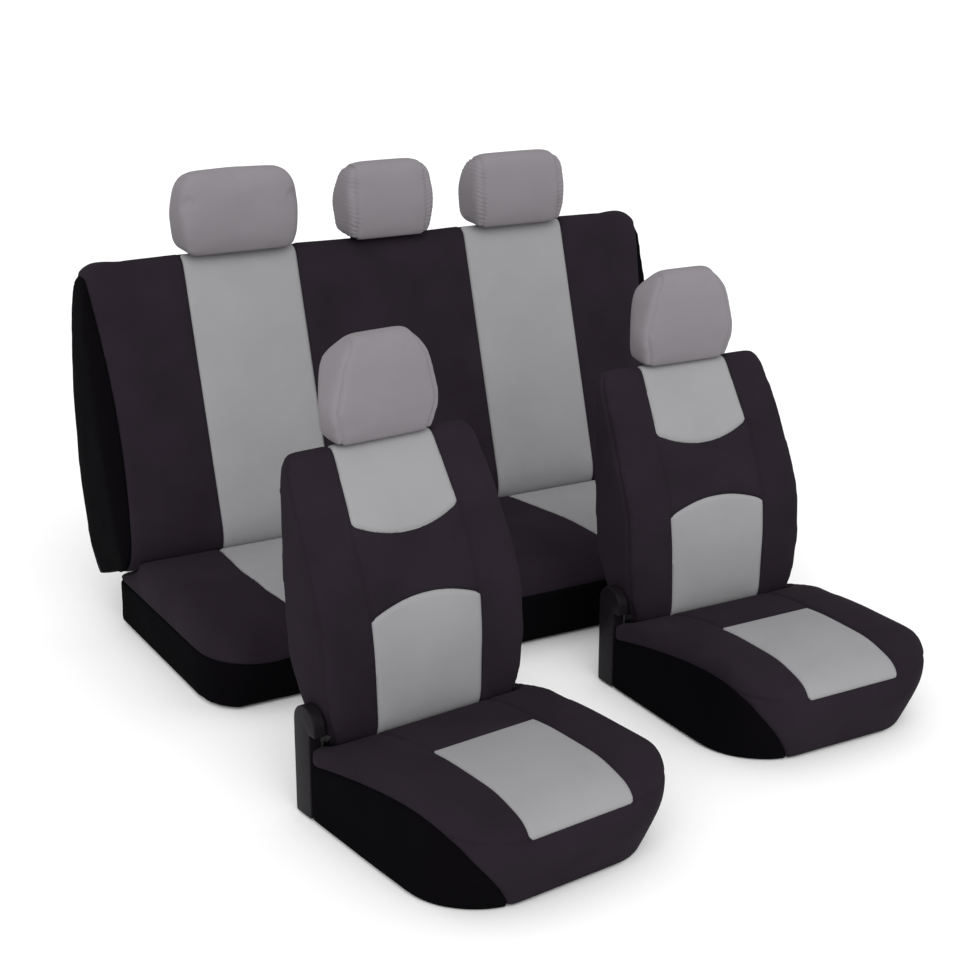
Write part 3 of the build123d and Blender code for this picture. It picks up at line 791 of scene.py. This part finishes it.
def new_material(name):
    """A new material, with its node tree and its principled shader."""
    material = bpy.data.materials.new(name)
    material.use_nodes = True
    tree = material.node_tree
    shader = tree.nodes["Principled BSDF"]
    return material, tree, shader


def cloth(name, colour, sheen, roughness=0.9, mottling=0.12, specular=0.02):
    """A close-knit cover cloth: fine weave bump, soft creases, faint unevenness of colour, sheen."""
    material, tree, shader = new_material(name)
    shader.inputs["Roughness"].default_value = roughness
    shader.inputs["Specular IOR Level"].default_value = specular
    shader.inputs["Sheen Weight"].default_value = sheen
    shader.inputs["Sheen Roughness"].default_value = 0.5
    place = tree.nodes.new("ShaderNodeTexCoord")

    uneven = tree.nodes.new("ShaderNodeTexNoise")
    uneven.inputs["Scale"].default_value = 9.0
    uneven.inputs["Detail"].default_value = 4.0
    tree.links.new(place.outputs["Object"], uneven.inputs["Vector"])
    shade = tree.nodes.new("ShaderNodeMapRange")
    shade.inputs["From Min"].default_value = 0.3
    shade.inputs["From Max"].default_value = 0.7
    shade.inputs["To Min"].default_value = 1 - mottling
    shade.inputs["To Max"].default_value = 1 + mottling
    tree.links.new(uneven.outputs["Fac"], shade.inputs["Value"])
    tint = tree.nodes.new("ShaderNodeVectorMath")
    tint.operation = "SCALE"
    tint.inputs[0].default_value = colour
    tree.links.new(shade.outputs["Result"], tint.inputs["Scale"])
    tree.links.new(tint.outputs["Vector"], shader.inputs["Base Color"])

    knit = tree.nodes.new("ShaderNodeTexVoronoi")
    knit.inputs["Scale"].default_value = 520.0
    tree.links.new(place.outputs["Object"], knit.inputs["Vector"])
    fine = tree.nodes.new("ShaderNodeBump")
    fine.inputs["Strength"].default_value = 0.35
    fine.inputs["Distance"].default_value = 0.00035
    tree.links.new(knit.outputs["Distance"], fine.inputs["Height"])

    soft = tree.nodes.new("ShaderNodeTexNoise")
    soft.inputs["Scale"].default_value = 16.0
    soft.inputs["Detail"].default_value = 2.0
    tree.links.new(place.outputs["Object"], soft.inputs["Vector"])
    broad = tree.nodes.new("ShaderNodeBump")
    broad.inputs["Strength"].default_value = 0.25
    broad.inputs["Distance"].default_value = 0.006
    tree.links.new(soft.outputs["Fac"], broad.inputs["Height"])
    tree.links.new(fine.outputs["Normal"], broad.inputs["Normal"])
    tree.links.new(broad.outputs["Normal"], shader.inputs["Normal"])
    return material


def solid(name, colour, metallic, roughness, grain=0.0, specular=0.5):
    """A hard finish of slightly uneven roughness, with a grain of the given height where it has one."""
    material, tree, shader = new_material(name)
    shader.inputs["Base Color"].default_value = (*colour, 1)
    shader.inputs["Metallic"].default_value = metallic
    shader.inputs["Specular IOR Level"].default_value = specular
    place = tree.nodes.new("ShaderNodeTexCoord")
    uneven = tree.nodes.new("ShaderNodeTexNoise")
    uneven.inputs["Scale"].default_value = 60.0
    uneven.inputs["Detail"].default_value = 3.0
    tree.links.new(place.outputs["Object"], uneven.inputs["Vector"])
    rough = tree.nodes.new("ShaderNodeMapRange")
    rough.inputs["To Min"].default_value = max(roughness - 0.06, 0.02)
    rough.inputs["To Max"].default_value = roughness + 0.06
    tree.links.new(uneven.outputs["Fac"], rough.inputs["Value"])
    tree.links.new(rough.outputs["Result"], shader.inputs["Roughness"])
    if grain:
        bump = tree.nodes.new("ShaderNodeBump")
        bump.inputs["Strength"].default_value = 0.3
        bump.inputs["Distance"].default_value = grain
        tree.links.new(uneven.outputs["Fac"], bump.inputs["Height"])
        tree.links.new(bump.outputs["Normal"], shader.inputs["Normal"])
    return material


SLOT_FINISH = {
    "black_cloth": cloth("black cloth", (0.0158, 0.0116, 0.0165), 0.01),
    "grey_cloth": cloth("grey cloth", (0.238, 0.235, 0.242), 0.02, mottling=0.03, specular=0.05),
    "headrest_cloth": cloth("headrest cloth", (0.184, 0.172, 0.185), 0.02, mottling=0.03, specular=0.05),
    # The skirts' own near-black cloth; on the bench back's side panels the same finish is painted shade for
    # their less-lit sides.
    "skirt_cloth": cloth("skirt cloth and painted side shade", (0.0022, 0.0018, 0.0024), 0.0, 1.0),
    "pressed_steel": solid("painted steel", (0.03, 0.03, 0.033), 0.0, 0.45, 0.0003),
    "bare_steel": solid("bare steel", (0.45, 0.45, 0.46), 1.0, 0.35),
    "post_chrome": solid("chrome", (0.75, 0.75, 0.76), 1.0, 0.12),
    "trim_plastic": solid("trim plastic", (0.0080, 0.0065, 0.0084), 0.0, 0.25, 0.0002, specular=0.04),
}
FLOOR = solid("floor", (0.93, 0.93, 0.93), 0.0, 0.8)

# The frame's own pieces that stay in sight, by the ends of their names, and their finishes
HARD_NODES = {
    "seat_pan": "pressed_steel",
    "recliner_brackets": "bare_steel",
    "recliner_pins": "bare_steel",
    "back_frame": "pressed_steel",
    "headrest_guides": "trim_plastic",
    "pivot_brackets": "bare_steel",
    "pivot_pins": "bare_steel",
    "posts": "post_chrome",
}

for node_name, node in frame["nodes"].items():
    for ending, slot_name in HARD_NODES.items():
        if node_name.endswith(ending):
            node.data.materials.clear()
            node.data.materials.append(SLOT_FINISH[slot_name])


# ------------------------------------------------------------------ the three seats in place

def seat_place(joint_name, axis_point):
    """The matrix from a seat's own frame to the set's, from where its recline joint is."""
    joint = JOINTS[joint_name]
    turn = Matrix.Rotation(math.atan2(joint["axis"][1], joint["axis"][0]), 4, "Z")
    from_axis = Matrix.Translation((0, -axis_point[0], -axis_point[1]))
    return Matrix.Translation(joint["pos_m"]) @ turn @ from_axis


cushion = front_cushion()
back = front_back()
headrest = front_headrest()
cap = recliner_cap()
for seat in ("passenger", "driver"):
    place = seat_place(seat + "_recline", FRONT_AXIS)
    back_body = seat + "_back"
    finished(cushion["rest"], seat + ".cushion.cover", place, "black_cloth", "root",
             [seat + "_cushion_cover", seat + "_cushion_foam"])
    finished(cushion["insert"], seat + ".cushion.insert", place, "grey_cloth", "root",
             [seat + "_cushion_insert"])
    finished(cushion["skirts"], seat + ".cushion.side_skirts", place, "skirt_cloth", "root",
             [seat + "_cushion_side_skirts"])
    finished(cap, seat + ".recliner_cap", place, "trim_plastic", "root", [seat + "_recliner_cap"])
    finished(back["rest"], seat + ".back.cover", place, "black_cloth", back_body,
             [seat + "_back_cover", seat + "_back_foam"])
    finished(back["lower_insert"], seat + ".back.lower_insert", place, "grey_cloth", back_body,
             [seat + "_back_lower_insert"])
    finished(back["upper_insert"], seat + ".back.upper_insert", place, "grey_cloth", back_body,
             [seat + "_back_upper_insert"])
    finished(headrest["rest"], seat + ".headrest.cover", place, "headrest_cloth", seat + "_headrest",
             [seat + "_headrest_cover", seat + "_headrest_foam"])

bench_place = seat_place("bench_back_fold", BENCH_AXIS)
cushion = bench_cushion()
finished(cushion["rest"], "bench.cushion.cover", bench_place, "black_cloth", "root",
         ["bench_cushion_cover", "bench_cushion_foam"])
finished(cushion["strips"], "bench.cushion.strips", bench_place, "grey_cloth", "root",
         ["bench_cushion_left_insert", "bench_cushion_right_insert"])
finished(cushion["skirt"], "bench.cushion.skirt", bench_place, "skirt_cloth", "root", ["bench_cushion_skirt"])
back = bench_back()
finished(back["rest"], "bench.back.cover", bench_place, "black_cloth", "bench_back",
         ["bench_back_cover", "bench_back_foam"])
finished(back["strips"], "bench.back.strips", bench_place, "grey_cloth", "bench_back",
         ["bench_back_left_insert", "bench_back_right_insert"])
# The side panels are the same cloth as the face: the near-black skirt finish on them is painted shade.
finished(back["side_panels"], "bench.back.side_panels", bench_place, "skirt_cloth", "bench_back",
         ["bench_back_side_panels"])

BENCH_HEADRESTS = {    # name: (centre X, half width, lip, crown, gathered or plain)
    "left": (-0.350, 0.137, 792, 974, False),
    "center": (0.012, 0.110, 790, 966, True),
    "right": (0.350, 0.124, 784, 962, True),
}
for where, (centre, half, lip, crown, gathers) in BENCH_HEADRESTS.items():
    node = f"bench_{where}_headrest"
    cover = bench_headrest(half, lip, crown, gathers)["rest"]
    finished(cover, f"bench.{where}_headrest.cover", bench_place @ Matrix.Translation((centre, 0, 0)),
             "headrest_cloth", node, [node + "_cover", node + "_foam"])


# ------------------------------------------------------------------ floor, light and camera

FLOOR_SIZE = 400
WORLD_STRENGTH = 0.85
SKY_ENERGY = 2.1
SKY_ANGLE = 70                             # degrees across the bright part of the sky
SKY_DIRECTION = (0.25, 0.72, -0.62)        # the way its light travels
CAMERA_PLACE = (-1.8199, -2.9339, 1.5349)
CAMERA_DOWN = 18.1                         # degrees below level
CAMERA_TURN = -29.8                        # degrees from facing +Y
CAMERA_LENS = 67.36                        # millimetres, with the sensor's width
CAMERA_SENSOR = 36

bpy.ops.mesh.primitive_plane_add(size=FLOOR_SIZE, location=(0, 0, 0))
floor = bpy.context.object
floor.name = "floor"
floor.data.materials.append(FLOOR)

world = bpy.data.worlds.new("studio")
bpy.context.scene.world = world
world.use_nodes = True
background = world.node_tree.nodes["Background"]
background.inputs["Color"].default_value = (1.0, 1.0, 1.0, 1.0)
background.inputs["Strength"].default_value = WORLD_STRENGTH

sky = bpy.data.lights.new("front sky", "SUN")
sky.energy = SKY_ENERGY
sky.angle = math.radians(SKY_ANGLE)
front_sky = bpy.data.objects.new("front sky", sky)
front_sky.rotation_euler = Vector(SKY_DIRECTION).to_track_quat("-Z", "Y").to_euler()
bpy.context.scene.collection.objects.link(front_sky)

camera_data = bpy.data.cameras.new("camera")
camera_data.lens = CAMERA_LENS
camera_data.sensor_width = CAMERA_SENSOR
camera = bpy.data.objects.new("camera", camera_data)
camera.location = CAMERA_PLACE
camera.rotation_euler = (math.radians(90 - CAMERA_DOWN), 0, math.radians(CAMERA_TURN))
bpy.context.scene.collection.objects.link(camera)
bpy.context.scene.camera = camera
bpy.context.scene.view_settings.view_transform = "Standard"
